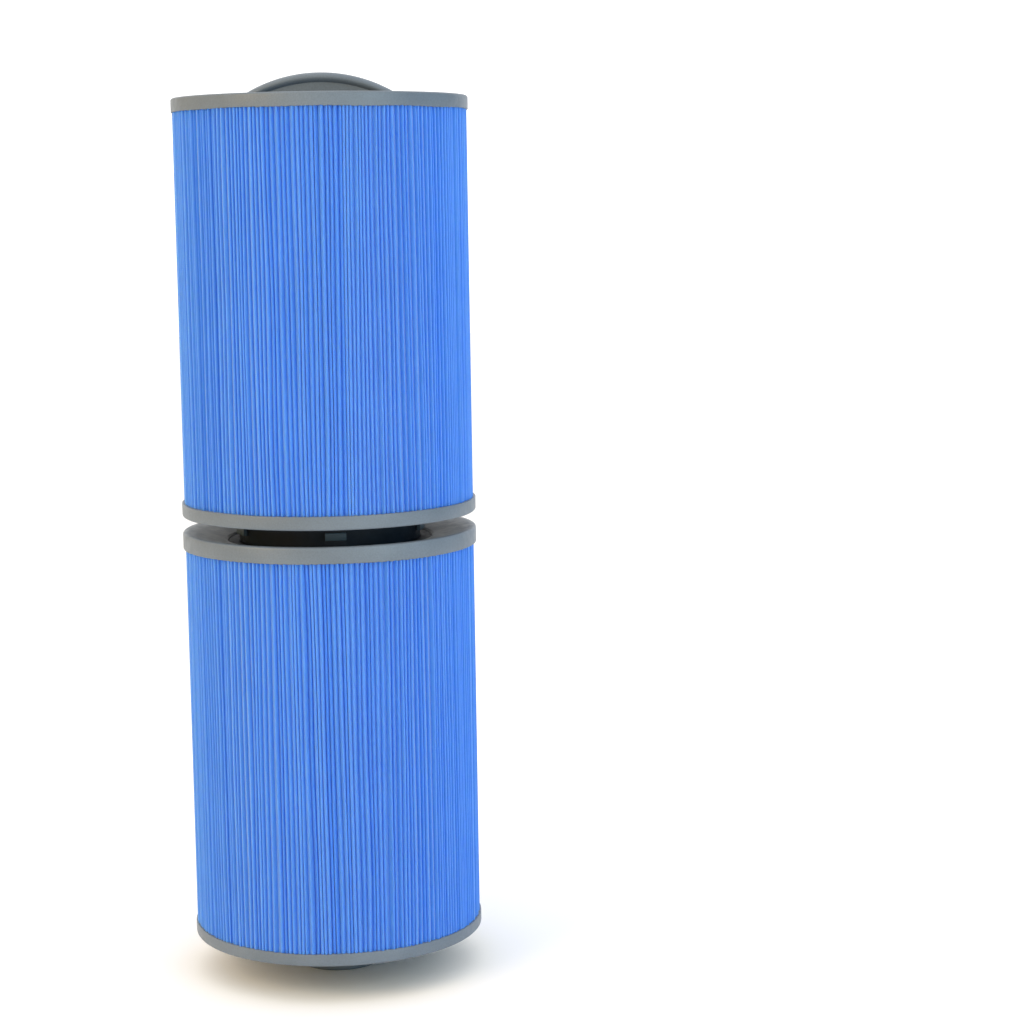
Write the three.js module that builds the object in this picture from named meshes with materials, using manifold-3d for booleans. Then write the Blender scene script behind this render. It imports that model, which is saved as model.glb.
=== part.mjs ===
// Two-stage pleated filter cartridge for a pool or spa skimmer.
//
// A lower cartridge with a threaded neck and an upper cartridge with a grip stand
// on one axis, joined end to end by a twist-lock coupling ring. Water enters through
// the pleats, runs down the hollow cores and leaves through the neck.
//
// Millimetres, +Z up, origin at the centre of the neck's open end.

import * as THREE from 'three';
import { mergeVertices } from 'three/addons/utils/BufferGeometryUtils.js';
import Module from 'manifold-3d';

const wasm = await Module();
wasm.setup();

// ---------------------------------------------------------------- driving dimensions

const FIT = 0.3; // clearance kept between touching pieces

const CAP_RADIUS = 76; // inner end caps of a nominal 6 inch cartridge
const OUTER_CAP_RADIUS = 75.4; // end caps with the neck and the grip
const CARTRIDGE_LENGTH = 212.6; // each cartridge, outer face to outer face
const STAGE_GAP = 8.2; // air gap between the two cartridges
const CAP_HEIGHT = 7; // visible height of an end cap's rim
const NECK_CAP_HEIGHT = 6.3; // the same on the cap round the neck
const DEEP_CAP_HEIGHT = 8.4; // the same on the cap that takes the twist lock
const DEEP_CAP_LAND = 3; // width of that cap's flat edge
const RIM_ROUND = 1.2; // rounding of the caps' outer edges

const MEDIA_RADIUS = 74.9;
const CORE_RADIUS = 54;
const CORE_WALL = 3.2;
const CORE_COLUMNS = 6;
const CORE_ROWS = 4;
const CORE_BAR = 9; // solid bars left between the core's windows

const NECK_LENGTH = 19.6;
const NECK_RADIUS = 21.5;
const NECK_BORE = 17.5;
const THREAD_RADIUS = 24.5; // crest of the 1 1/2 inch coarse thread
const THREAD_PITCH = 6;
const THREAD_START = 2.6;
const THREAD_TURNS = 2.2;
const NECK_FLANGE_RADIUS = 31;
const NECK_THROAT = NECK_RADIUS + 1.2; // narrow part held in the cap
const NECK_SEAT_RADIUS = 25.4; // shallow counterbore round the neck's foot

const BOWL_RADIUS = 46; // finger bowl round the grip
const BOWL_DEPTH = 14;
const GRIP_RISE = 12.6; // grip's crown above the cap's face
const GRIP_CHORD = 83.6; // grip's length where it meets the cap's face
const GRIP_WEB = 5;
const GRIP_BEAD_WIDTH = 9;
const GRIP_BEAD_DEPTH = 5.4;

const COLLAR_RADIUS = 47; // coupling ring between the cartridges
const SPIGOT_RADIUS = 45; // its two plug-in ends
const COUPLING_BORE = 41.5;
const SPIGOT_LENGTH = 20;
const SEAT_DEPTH = 5; // how far the collar reaches down into the lower cap
const FLANGE_RADIUS = 50;
const FLANGE_HEIGHT = 1.9;

const LOCK_COUNT = 5;
const LOCK_PITCH = 72; // degrees from lug to lug
const LOCK_START = 7.5; // first lug, degrees from the front
const UNLOCK_TURN = 36; // degrees from locked to the entry slots
const LUG_DEPTH = 2.6; // how far a lug stands out of its spigot
const LUG_HALF_TURN = 6.2; // half a lug's width in degrees
const LUG_HEIGHT = 2.8;
const SLOT_HALF_TURN = 9;
const TAB_HEIGHT = 3;
const GRIP_LUG_HEIGHT = 4.1;
const KEY_LENGTH = 10;
const KEY_HALF_TURN = 4.5;

const SEAL_RADIUS = 1.4; // O-ring section
const SEAL_CENTRE = 46.3;

const ROUND = 48; // facets round a large circle
const SMALL_ROUND = 36;

// ---------------------------------------------------------------- levels on the axis

const NECK_FACE = NECK_LENGTH;
const LOWER_RIM = NECK_FACE + CARTRIDGE_LENGTH;
const UPPER_RIM = LOWER_RIM + STAGE_GAP;
const HANDLE_FACE = UPPER_RIM + CARTRIDGE_LENGTH;

const CORE_BORE = CORE_RADIUS - CORE_WALL;
const SOCKET_RADIUS = CORE_BORE - FIT; // sockets plug into the core's end
const SOCKET_BORE = SPIGOT_RADIUS + LUG_DEPTH + 0.4;
const TAB_RADIUS = SPIGOT_RADIUS + 0.4;
const HUB_RADIUS = CORE_RADIUS - 1; // bore of an inner cap
const TAB_TOP = LOWER_RIM - SEAT_DEPTH - FIT;
const TAB_BOTTOM = TAB_TOP - TAB_HEIGHT;
const LOWER_SEAL_LEVEL = LOWER_RIM - SPIGOT_LENGTH + 4.2;
const UPPER_SEAL_LEVEL = UPPER_RIM + 3.4;

// ---------------------------------------------------------------- materials

const capGrey = new THREE.MeshStandardMaterial({ color: 0x84919b, roughness: 0.55, metalness: 0 });
const mouldedGrey = new THREE.MeshStandardMaterial({ color: 0x7f8b95, roughness: 0.4, metalness: 0 });
const mediaBlue = new THREE.MeshStandardMaterial({ color: 0x5f96eb, roughness: 0.9, metalness: 0 });
const couplingDark = new THREE.MeshStandardMaterial({ color: 0x1c232c, roughness: 0.45, metalness: 0 });
const corePale = new THREE.MeshStandardMaterial({ color: 0xd9dde0, roughness: 0.5, metalness: 0 });
const sealBlack = new THREE.MeshStandardMaterial({ color: 0x141414, roughness: 0.7, metalness: 0 });

// ---------------------------------------------------------------- geometry helpers

function bare(geometry) {
  geometry.deleteAttribute('normal');
  geometry.deleteAttribute('uv');
  return mergeVertices(geometry, 1e-3);
}

function toSolid(geometry) {
  const merged = bare(geometry);
  const vertProperties = new Float32Array(merged.attributes.position.array);
  const triVerts = new Uint32Array(merged.index.array);
  return new wasm.Manifold(new wasm.Mesh({ numProp: 3, vertProperties, triVerts }));
}

function toGeometry(solid) {
  const mesh = solid.getMesh();
  const geometry = new THREE.BufferGeometry();
  geometry.setAttribute('position', new THREE.BufferAttribute(mesh.vertProperties, 3));
  geometry.setIndex(new THREE.BufferAttribute(mesh.triVerts, 1));
  return geometry;
}

function join(solid, ...others) {
  return others.reduce((whole, other) => whole.add(other), solid);
}

function cut(solid, ...tools) {
  return tools.reduce((rest, tool) => rest.subtract(tool), solid);
}

// Solid of revolution about Z. The profile is a closed list of [radius, height]
// corners, listed anticlockwise with the radius to the right.
function revolve(profile, segments = ROUND) {
  const corners = [...profile, profile[0]];
  const points = corners.map(([radius, height]) => new THREE.Vector2(radius, height));
  const geometry = new THREE.LatheGeometry(points, segments);
  geometry.rotateX(Math.PI / 2);
  return toSolid(geometry);
}

function tube(innerRadius, outerRadius, low, high, segments = ROUND) {
  const profile = [
    [innerRadius, low],
    [outerRadius, low],
    [outerRadius, high],
    [innerRadius, high],
  ];
  return revolve(profile, segments);
}

// Corner points of a quarter round between two directions given in degrees.
function quarterRound(centreRadius, centreHeight, radius, fromDegrees, steps = 2) {
  const points = [];
  for (let step = 0; step <= steps; step++) {
    const angle = THREE.MathUtils.degToRad(fromDegrees + (90 * step) / steps);
    points.push([centreRadius + radius * Math.cos(angle), centreHeight + radius * Math.sin(angle)]);
  }
  return points;
}

// Block between two radii and two angles (degrees anticlockwise from the front, -Y).
function sector(innerRadius, outerRadius, middle, halfTurn, low, high, facets = 2) {
  const from = THREE.MathUtils.degToRad(middle - halfTurn - 90);
  const to = THREE.MathUtils.degToRad(middle + halfTurn - 90);
  const shape = new THREE.Shape();
  shape.absarc(0, 0, outerRadius, from, to, false);
  shape.absarc(0, 0, innerRadius, to, from, true);
  const settings = { depth: high - low, bevelEnabled: false, curveSegments: facets };
  const geometry = new THREE.ExtrudeGeometry(shape, settings);
  geometry.translate(0, 0, low);
  return toSolid(geometry);
}

function aroundLocks(make) {
  return Array.from({ length: LOCK_COUNT }, (_, index) => make(LOCK_START + index * LOCK_PITCH));
}

// ---------------------------------------------------------------- threaded neck

// One ridge wound round the neck, fading into it at both ends.
function threadRidge() {
  const stepsPerTurn = 24;
  const fadeSteps = 5;
  const root = NECK_RADIUS - 1;
  const section = [
    [root, -2.3],
    [THREAD_RADIUS - 0.5, -0.8],
    [THREAD_RADIUS, 0],
    [THREAD_RADIUS - 0.5, 0.8],
    [root, 2.3],
  ];
  const steps = Math.round(THREAD_TURNS * stepsPerTurn);
  const positions = [];
  for (let step = 0; step <= steps; step++) {
    const angle = (2 * Math.PI * step) / stepsPerTurn;
    const level = THREAD_START + (THREAD_PITCH * step) / stepsPerTurn;
    const height = Math.min(1, (step + 0.5) / fadeSteps, (steps - step + 0.5) / fadeSteps);
    for (const [radius, offset] of section) {
      const reach = root + (radius - root) * height;
      positions.push(reach * Math.cos(angle), reach * Math.sin(angle), level + offset * height);
    }
  }
  const corners = section.length;
  const indices = [];
  for (let step = 0; step < steps; step++) {
    for (let corner = 0; corner < corners; corner++) {
      const next = (corner + 1) % corners;
      const here = step * corners;
      const ahead = here + corners;
      indices.push(here + corner, ahead + corner, ahead + next);
      indices.push(here + corner, ahead + next, here + next);
    }
  }
  for (let corner = 1; corner < corners - 1; corner++) {
    indices.push(0, corner, corner + 1);
    const last = steps * corners;
    indices.push(last, last + corner + 1, last + corner);
  }
  const geometry = new THREE.BufferGeometry();
  geometry.setAttribute('position', new THREE.Float32BufferAttribute(positions, 3));
  geometry.setIndex(indices);
  return toSolid(geometry);
}

function threadedNeck() {
  const body = revolve(
    [
      [NECK_BORE, 0],
      [NECK_RADIUS - 0.6, 0],
      [NECK_RADIUS, 0.6],
      [NECK_RADIUS, NECK_FACE - 2.1],
      [NECK_RADIUS + 2.7, NECK_FACE - 1.1],
      [NECK_RADIUS + 2.7, NECK_FACE - FIT],
      [NECK_THROAT, NECK_FACE - FIT],
      [NECK_THROAT, NECK_FACE + 3.3],
      [NECK_FLANGE_RADIUS, NECK_FACE + 3.3],
      [NECK_FLANGE_RADIUS, NECK_FACE + NECK_CAP_HEIGHT - 0.2],
      [NECK_BORE, NECK_FACE + NECK_CAP_HEIGHT - 0.2],
    ],
    SMALL_ROUND,
  );
  return join(body, threadRidge());
}

function neckCap() {
  const throat = NECK_THROAT + FIT;
  const pocket = NECK_FLANGE_RADIUS + FIT;
  return revolve([
    [throat, NECK_FACE + 1],
    [NECK_SEAT_RADIUS, NECK_FACE + 1],
    [NECK_SEAT_RADIUS, NECK_FACE],
    ...quarterRound(OUTER_CAP_RADIUS - RIM_ROUND, NECK_FACE + RIM_ROUND, RIM_ROUND, -90),
    [OUTER_CAP_RADIUS, NECK_FACE + NECK_CAP_HEIGHT],
    [pocket, NECK_FACE + NECK_CAP_HEIGHT],
    [pocket, NECK_FACE + 3],
    [throat, NECK_FACE + 3],
  ]);
}

// ---------------------------------------------------------------- cores and media

// Tube with rows of windows that let the water through.
function core(low, high) {
  const rowHeight = (high - low - CORE_BAR) / CORE_ROWS;
  const columnPitch = 360 / CORE_COLUMNS;
  const halfWindow = columnPitch / 2 - 6;
  const windows = [];
  for (let row = 0; row < CORE_ROWS; row++) {
    const bottom = low + CORE_BAR + row * rowHeight;
    for (let column = 0; column < CORE_COLUMNS; column++) {
      const middle = column * columnPitch;
      const top = bottom + rowHeight - CORE_BAR;
      windows.push(sector(CORE_BORE - 1, CORE_RADIUS + 1, middle, halfWindow, bottom, top, 1));
    }
  }
  return cut(tube(CORE_BORE, CORE_RADIUS, low, high, SMALL_ROUND), ...windows);
}

function media(low, high) {
  return tube(CORE_RADIUS + FIT, MEDIA_RADIUS, low, high);
}

// ---------------------------------------------------------------- inner end caps

// Lower cartridge: a narrow rim with a face that slopes down to the lock socket.
function lowerInnerCap() {
  const bottom = LOWER_RIM - DEEP_CAP_HEIGHT;
  return revolve([
    [HUB_RADIUS, bottom],
    [CAP_RADIUS, bottom],
    ...quarterRound(CAP_RADIUS - RIM_ROUND, LOWER_RIM - RIM_ROUND, RIM_ROUND, 0),
    [CAP_RADIUS - DEEP_CAP_LAND, LOWER_RIM],
    [HUB_RADIUS + 1, LOWER_RIM - 4.2],
    [HUB_RADIUS, LOWER_RIM - 5.2],
  ]);
}

// Upper cartridge: a flat rim, a drip groove and a flat face round the key socket.
function upperInnerCap() {
  const grooveInner = CAP_RADIUS - 12;
  const grooveOuter = CAP_RADIUS - 9;
  const top = UPPER_RIM + CAP_HEIGHT;
  return revolve([
    [HUB_RADIUS, UPPER_RIM],
    [grooveInner, UPPER_RIM],
    [grooveInner, UPPER_RIM + 3.5],
    [grooveOuter, UPPER_RIM + 3.5],
    [grooveOuter, UPPER_RIM],
    ...quarterRound(CAP_RADIUS - RIM_ROUND, UPPER_RIM + RIM_ROUND, RIM_ROUND, -90),
    [CAP_RADIUS, top],
    [HUB_RADIUS, top],
  ]);
}

// ---------------------------------------------------------------- twist lock

// Socket in the lower cartridge. Five tabs hold the coupling's lugs down, with an
// entry slot between each two, and two stops under each tab end the turn.
function lockSocket() {
  const bottom = LOWER_RIM - SPIGOT_LENGTH - 0.5;
  const ledge = LOWER_RIM - DEEP_CAP_HEIGHT;
  const body = revolve(
    [
      [SOCKET_BORE, bottom],
      [SOCKET_RADIUS, bottom],
      [SOCKET_RADIUS, ledge],
      [HUB_RADIUS - FIT, ledge],
      [HUB_RADIUS - FIT, TAB_TOP],
      [TAB_RADIUS, TAB_TOP],
      [TAB_RADIUS, TAB_BOTTOM],
      [SOCKET_BORE, TAB_BOTTOM],
    ],
    SMALL_ROUND,
  );
  const slots = aroundLocks((angle) =>
    sector(
      TAB_RADIUS - 2,
      SOCKET_BORE,
      angle + UNLOCK_TURN,
      SLOT_HALF_TURN,
      TAB_BOTTOM - 1,
      TAB_TOP + 1,
    ),
  );
  const stopLow = TAB_BOTTOM - LUG_HEIGHT - 0.6;
  const lockedStop = -LUG_HALF_TURN - 2.4;
  const openStop = UNLOCK_TURN + LUG_HALF_TURN + 2.4;
  const stops = [lockedStop, openStop].flatMap((offset) =>
    aroundLocks((angle) =>
      sector(TAB_RADIUS, SOCKET_BORE + 0.6, angle + offset, 1.5, stopLow, TAB_BOTTOM + 0.5, 1),
    ),
  );
  return join(cut(body, ...slots), ...stops);
}

// Ring that joins the two cartridges. Its lower end has the locking lugs, its upper
// end the keys that turn it with the upper cartridge, and the collar between them has
// five finger lugs.
function couplingRing() {
  const bottom = LOWER_RIM - SPIGOT_LENGTH;
  const shoulder = LOWER_RIM - SEAT_DEPTH;
  const flangeTop = UPPER_RIM - FIT;
  const top = UPPER_RIM + SPIGOT_LENGTH;
  const sealRoom = SEAL_RADIUS + 0.25;
  const grooveRadius = SEAL_CENTRE - SEAL_RADIUS - FIT;
  const body = revolve(
    [
      [COUPLING_BORE, bottom],
      [SPIGOT_RADIUS - 0.8, bottom],
      [SPIGOT_RADIUS, bottom + 0.8],
      [SPIGOT_RADIUS, LOWER_SEAL_LEVEL - sealRoom],
      [grooveRadius, LOWER_SEAL_LEVEL - sealRoom],
      [grooveRadius, LOWER_SEAL_LEVEL + sealRoom],
      [SPIGOT_RADIUS, LOWER_SEAL_LEVEL + sealRoom],
      [SPIGOT_RADIUS, shoulder],
      [COLLAR_RADIUS, shoulder],
      [COLLAR_RADIUS, flangeTop - FLANGE_HEIGHT],
      [FLANGE_RADIUS, flangeTop - FLANGE_HEIGHT],
      [FLANGE_RADIUS, flangeTop],
      [SPIGOT_RADIUS, flangeTop],
      [SPIGOT_RADIUS, UPPER_SEAL_LEVEL - sealRoom],
      [grooveRadius, UPPER_SEAL_LEVEL - sealRoom],
      [grooveRadius, UPPER_SEAL_LEVEL + sealRoom],
      [SPIGOT_RADIUS, UPPER_SEAL_LEVEL + sealRoom],
      [SPIGOT_RADIUS, top - 0.8],
      [SPIGOT_RADIUS - 0.8, top],
      [COUPLING_BORE, top],
    ],
    SMALL_ROUND,
  );
  const root = SPIGOT_RADIUS - 1;
  const lugTop = TAB_BOTTOM - FIT;
  const lockLugs = aroundLocks((angle) =>
    sector(root, SPIGOT_RADIUS + LUG_DEPTH, angle, LUG_HALF_TURN, lugTop - LUG_HEIGHT, lugTop),
  );
  const gripLow = LOWER_RIM - 0.6;
  const gripLugs = aroundLocks((angle) =>
    sector(
      COLLAR_RADIUS - 1,
      COLLAR_RADIUS + LUG_DEPTH,
      angle,
      LUG_HALF_TURN,
      gripLow,
      gripLow + GRIP_LUG_HEIGHT,
    ),
  );
  const keyTop = top - 1.5;
  const keys = aroundLocks((angle) =>
    sector(root, SPIGOT_RADIUS + LUG_DEPTH, angle, KEY_HALF_TURN, keyTop - KEY_LENGTH, keyTop),
  );
  return join(body, ...lockLugs, ...gripLugs, ...keys);
}

// Socket in the upper cartridge, with a plain seal land at its mouth and keyways above.
function keySocket() {
  const mouthTop = UPPER_RIM + 7.3;
  const ledge = UPPER_RIM + CAP_HEIGHT;
  const top = UPPER_RIM + SPIGOT_LENGTH + 0.5;
  const body = revolve(
    [
      [SOCKET_BORE, UPPER_RIM],
      [HUB_RADIUS - FIT, UPPER_RIM],
      [HUB_RADIUS - FIT, ledge],
      [SOCKET_RADIUS, ledge],
      [SOCKET_RADIUS, top],
      [TAB_RADIUS, top],
      [TAB_RADIUS, mouthTop],
      [SOCKET_BORE, mouthTop],
    ],
    SMALL_ROUND,
  );
  const keyways = aroundLocks((angle) =>
    sector(TAB_RADIUS - 2, SOCKET_BORE, angle, KEY_HALF_TURN + 0.6, mouthTop - 1, top + 1),
  );
  return cut(body, ...keyways);
}

function seal(level) {
  const section = [];
  const corners = 6;
  for (let corner = 0; corner < corners; corner++) {
    const angle = (2 * Math.PI * corner) / corners;
    section.push([SEAL_CENTRE + SEAL_RADIUS * Math.cos(angle), level + SEAL_RADIUS * Math.sin(angle)]);
  }
  return revolve(section, SMALL_ROUND);
}

// ---------------------------------------------------------------- handle end

// Closed cap with a finger bowl sunk into the hollow of the core.
function handleCap() {
  const bowlWall = 3;
  const floorRadius = BOWL_RADIUS - 4;
  return revolve([
    [0, HANDLE_FACE - BOWL_DEPTH - bowlWall],
    [floorRadius + bowlWall - 1, HANDLE_FACE - BOWL_DEPTH - bowlWall],
    [BOWL_RADIUS + bowlWall, HANDLE_FACE - CAP_HEIGHT],
    [OUTER_CAP_RADIUS, HANDLE_FACE - CAP_HEIGHT],
    ...quarterRound(OUTER_CAP_RADIUS - RIM_ROUND, HANDLE_FACE - RIM_ROUND, RIM_ROUND, 0),
    [BOWL_RADIUS, HANDLE_FACE],
    [floorRadius, HANDLE_FACE - BOWL_DEPTH],
    [0, HANDLE_FACE - BOWL_DEPTH],
  ]);
}

// Arched fin across the bowl: a thin web under a wider bead along the crown.
function gripHandle() {
  const arcRadius = ((GRIP_CHORD / 2) ** 2 + GRIP_RISE ** 2) / (2 * GRIP_RISE);
  const arcCentre = HANDLE_FACE + GRIP_RISE - arcRadius;
  const halfArc = Math.asin(GRIP_CHORD / 2 / arcRadius);
  const footHalf = BOWL_RADIUS - 4 - 2.5;
  const footLevel = HANDLE_FACE - BOWL_DEPTH + FIT;
  const shoulderLevel = HANDLE_FACE - 3.2;

  function archedBand(width, depth, feet) {
    const shape = new THREE.Shape();
    const right = Math.PI / 2 - halfArc;
    const left = Math.PI / 2 + halfArc;
    shape.absarc(0, arcCentre, arcRadius, right, left, false);
    if (feet) {
      shape.lineTo(-GRIP_CHORD / 2, shoulderLevel);
      shape.lineTo(-footHalf, footLevel);
      shape.lineTo(footHalf, footLevel);
      shape.lineTo(GRIP_CHORD / 2, shoulderLevel);
    } else {
      shape.absarc(0, arcCentre, arcRadius - depth, left, right, true);
    }
    const settings = { depth: width, bevelEnabled: false, curveSegments: 20 };
    const geometry = new THREE.ExtrudeGeometry(shape, settings);
    geometry.translate(0, 0, -width / 2);
    geometry.rotateX(Math.PI / 2);
    return toSolid(geometry);
  }

  const web = archedBand(GRIP_WEB, 0, true);
  const bead = archedBand(GRIP_BEAD_WIDTH, GRIP_BEAD_DEPTH, false);
  return join(web, bead);
}

// ---------------------------------------------------------------- assembly

const LOWER_MEDIA_SPAN = [NECK_FACE + NECK_CAP_HEIGHT + FIT, LOWER_RIM - DEEP_CAP_HEIGHT - FIT];
const UPPER_MEDIA_SPAN = [UPPER_RIM + CAP_HEIGHT + FIT, HANDLE_FACE - CAP_HEIGHT - FIT];

function addPart(group, name, solid, material) {
  const mesh = new THREE.Mesh(toGeometry(solid), material);
  mesh.name = name;
  group.add(mesh);
}

function lowerCartridge() {
  const group = new THREE.Group();
  addPart(group, 'threaded_neck', threadedNeck(), mouldedGrey);
  addPart(group, 'neck_cap', neckCap(), capGrey);
  addPart(group, 'lower_core', core(...LOWER_MEDIA_SPAN), corePale);
  addPart(group, 'lower_pleated_media', media(...LOWER_MEDIA_SPAN), mediaBlue);
  addPart(group, 'lower_inner_cap', lowerInnerCap(), capGrey);
  addPart(group, 'lock_socket', lockSocket(), couplingDark);
  return group;
}

function coupling() {
  const group = new THREE.Group();
  addPart(group, 'coupling_ring', couplingRing(), couplingDark);
  addPart(group, 'lower_seal', seal(LOWER_SEAL_LEVEL), sealBlack);
  addPart(group, 'upper_seal', seal(UPPER_SEAL_LEVEL), sealBlack);
  return group;
}

function upperCartridge() {
  const group = new THREE.Group();
  addPart(group, 'upper_inner_cap', upperInnerCap(), capGrey);
  addPart(group, 'key_socket', keySocket(), couplingDark);
  addPart(group, 'upper_core', core(...UPPER_MEDIA_SPAN), corePale);
  addPart(group, 'upper_pleated_media', media(...UPPER_MEDIA_SPAN), mediaBlue);
  addPart(group, 'handle_cap', handleCap(), capGrey);
  addPart(group, 'grip_handle', gripHandle(), capGrey);
  return group;
}

const group = new THREE.Group();
group.add(lowerCartridge(), coupling(), upperCartridge());

export default group;
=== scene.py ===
import math

import bmesh
import bpy
import numpy as np
from mathutils import Matrix, Vector


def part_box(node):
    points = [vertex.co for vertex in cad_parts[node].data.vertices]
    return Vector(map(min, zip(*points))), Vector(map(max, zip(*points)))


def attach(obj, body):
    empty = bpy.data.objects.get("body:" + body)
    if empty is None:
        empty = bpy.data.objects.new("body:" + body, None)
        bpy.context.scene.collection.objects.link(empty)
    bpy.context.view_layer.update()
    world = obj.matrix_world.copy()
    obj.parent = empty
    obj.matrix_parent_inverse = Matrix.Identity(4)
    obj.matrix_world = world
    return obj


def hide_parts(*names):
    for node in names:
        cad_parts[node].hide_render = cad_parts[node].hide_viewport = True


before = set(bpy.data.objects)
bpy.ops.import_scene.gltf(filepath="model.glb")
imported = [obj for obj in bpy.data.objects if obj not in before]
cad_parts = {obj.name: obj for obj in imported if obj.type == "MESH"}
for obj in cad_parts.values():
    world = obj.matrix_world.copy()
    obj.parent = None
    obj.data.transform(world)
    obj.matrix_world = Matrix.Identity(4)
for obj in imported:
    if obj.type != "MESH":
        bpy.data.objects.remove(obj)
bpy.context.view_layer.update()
MM = 0.001

# ------------------------------------------------------------------ camera

LENS_MM = 84.9
SENSOR_MM = 36.0
CAMERA_TILT = math.radians(7.431)
CAMERA_ROLL = math.radians(-0.842)
CAMERA_ASIDE = 0.0949  # the cartridge stands this far left of the optical axis
CAMERA_AWAY = 1.2574
CAMERA_LEVEL = 0.24  # height on the cartridge's axis that the optical axis passes


def add_camera():
    data = bpy.data.cameras.new("camera")
    data.lens = LENS_MM
    data.sensor_width = SENSOR_MM
    camera = bpy.data.objects.new("camera", data)
    bpy.context.scene.collection.objects.link(camera)
    spin = Matrix.Rotation(CAMERA_ROLL, 3, "Y") @ Matrix.Rotation(CAMERA_TILT, 3, "X")
    place = spin.transposed() @ Vector((CAMERA_ASIDE, -CAMERA_AWAY, 0))
    aim = spin.transposed() @ Matrix.Rotation(math.radians(90), 3, "X")
    camera.matrix_world = Matrix.Translation(place + Vector((0, 0, CAMERA_LEVEL))) @ aim.to_4x4()
    bpy.context.scene.camera = camera


add_camera()

# ------------------------------------------------------------------ sizes


def low(node):
    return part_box(node)[0].z


def high(node):
    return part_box(node)[1].z


def reach(node):
    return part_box(node)[1].x


CAP_RADIUS = reach("upper_inner_cap")
MEDIA_RADIUS = reach("lower_pleated_media")
CORE_RADIUS = reach("lower_core")
FIT = 0.3 * MM  # clearance between touching pieces
HUB_RADIUS = CORE_RADIUS - 1 * MM
CORE_BORE = CORE_RADIUS - 3.2 * MM
SOCKET_RADIUS = CORE_BORE - FIT
SPIGOT_RADIUS = 45 * MM
LUG_DEPTH = 2.6 * MM
COLLAR_RADIUS = 47 * MM
SOCKET_BORE = SPIGOT_RADIUS + LUG_DEPTH + 0.4 * MM
TAB_RADIUS = SPIGOT_RADIUS + 0.4 * MM
COUPLING_BORE = 41.5 * MM
NECK_RADIUS = 21.5 * MM
NECK_BORE = 17.5 * MM
NECK_THROAT = NECK_RADIUS + 1.2 * MM  # narrow part held in the cap
NECK_SEAT_RADIUS = 25.4 * MM  # shallow counterbore round the neck's foot
NECK_FACE = low("neck_cap")
LOWER_RIM = high("lower_inner_cap")
UPPER_RIM = low("upper_inner_cap")
HANDLE_FACE = high("handle_cap")
CAP_HEIGHT = high("upper_inner_cap") - UPPER_RIM
DEEP_CAP_HEIGHT = LOWER_RIM - low("lower_inner_cap")
BOWL_RADIUS = 46 * MM
BOWL_DEPTH = 14 * MM
LOCK_COUNT = 5
LOCK_PITCH = 360 / LOCK_COUNT
LOCK_START = 7.5  # degrees from the front to the first lug
UNLOCK_TURN = 36
SEAT_DEPTH = 5 * MM  # how far the collar reaches down into the lower cap
FLANGE_HEIGHT = 1.9 * MM
TAB_HEIGHT = 3 * MM
LUG_HALF_TURN = 6.2  # degrees
LUG_HEIGHT = 2.8 * MM
GRIP_LUG_HEIGHT = 4.1 * MM
SLOT_HALF_TURN = 9
STOP_HALF_TURN = 1.5
STOP_GAP = 8.6  # degrees from a lug's middle to a stop's
KEY_HALF_TURN = 4.5
KEY_LENGTH = 10 * MM
SEAL_RADIUS = 1.4 * MM  # O-ring section
SEAL_CENTRE = 46.3 * MM

FINE = 256  # facets round a large circle
CAST_FACETS = 720  # facets round a cast cap, enough for its ragged edge
FRONT = -90  # degrees: the front is -Y

# ------------------------------------------------------------------ mesh helpers


def make_object(name, vertices, faces, sharp_degrees=40):
    mesh = bpy.data.meshes.new(name)
    mesh.from_pydata([tuple(v) for v in vertices], [], [tuple(f) for f in faces])
    mesh.validate()
    mesh.shade_smooth()
    mesh.set_sharp_from_angle(angle=math.radians(sharp_degrees))
    piece = bpy.data.objects.new(name, mesh)
    bpy.context.scene.collection.objects.link(piece)
    return piece


def rounded(corners, radius, steps=4):
    """The closed outline with each corner replaced by an arc. A corner may carry its own radius."""
    outline = []
    total = len(corners)
    for index, corner in enumerate(corners):
        here = np.array(corner[:2])
        before = np.array(corners[index - 1][:2])
        after = np.array(corners[(index + 1) % total][:2])
        size = corner[2] if len(corner) > 2 else radius
        back, ahead = before - here, after - here
        back_length, ahead_length = np.linalg.norm(back), np.linalg.norm(ahead)
        back, ahead = back / back_length, ahead / ahead_length
        half = math.acos(float(np.clip(back @ ahead, -1, 1))) / 2
        on_axis = here[0] < 1e-6
        if on_axis or size <= 0 or half > math.radians(85):
            outline.append(here)
            continue
        run = min(size / math.tan(half), 0.45 * back_length, 0.45 * ahead_length)
        size = run * math.tan(half)
        middle = (back + ahead) / np.linalg.norm(back + ahead)
        centre = here + middle * size / math.sin(half)
        start = here + back * run - centre
        end = here + ahead * run - centre
        turn = math.atan2(start[0] * end[1] - start[1] * end[0], start @ end)
        for step in range(steps + 1):
            angle = turn * step / steps
            c, s = math.cos(angle), math.sin(angle)
            outline.append(centre + np.array([c * start[0] - s * start[1], s * start[0] + c * start[1]]))
    return np.array(outline)


def grid_faces(rows, columns, wrap_rows, wrap_columns, offset=0):
    faces = []
    for row in range(rows if wrap_rows else rows - 1):
        for column in range(columns if wrap_columns else columns - 1):
            a = row * columns + column
            b = row * columns + (column + 1) % columns
            c = ((row + 1) % rows) * columns + (column + 1) % columns
            d = ((row + 1) % rows) * columns + column
            faces.append((a + offset, b + offset, c + offset, d + offset))
    return faces


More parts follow.
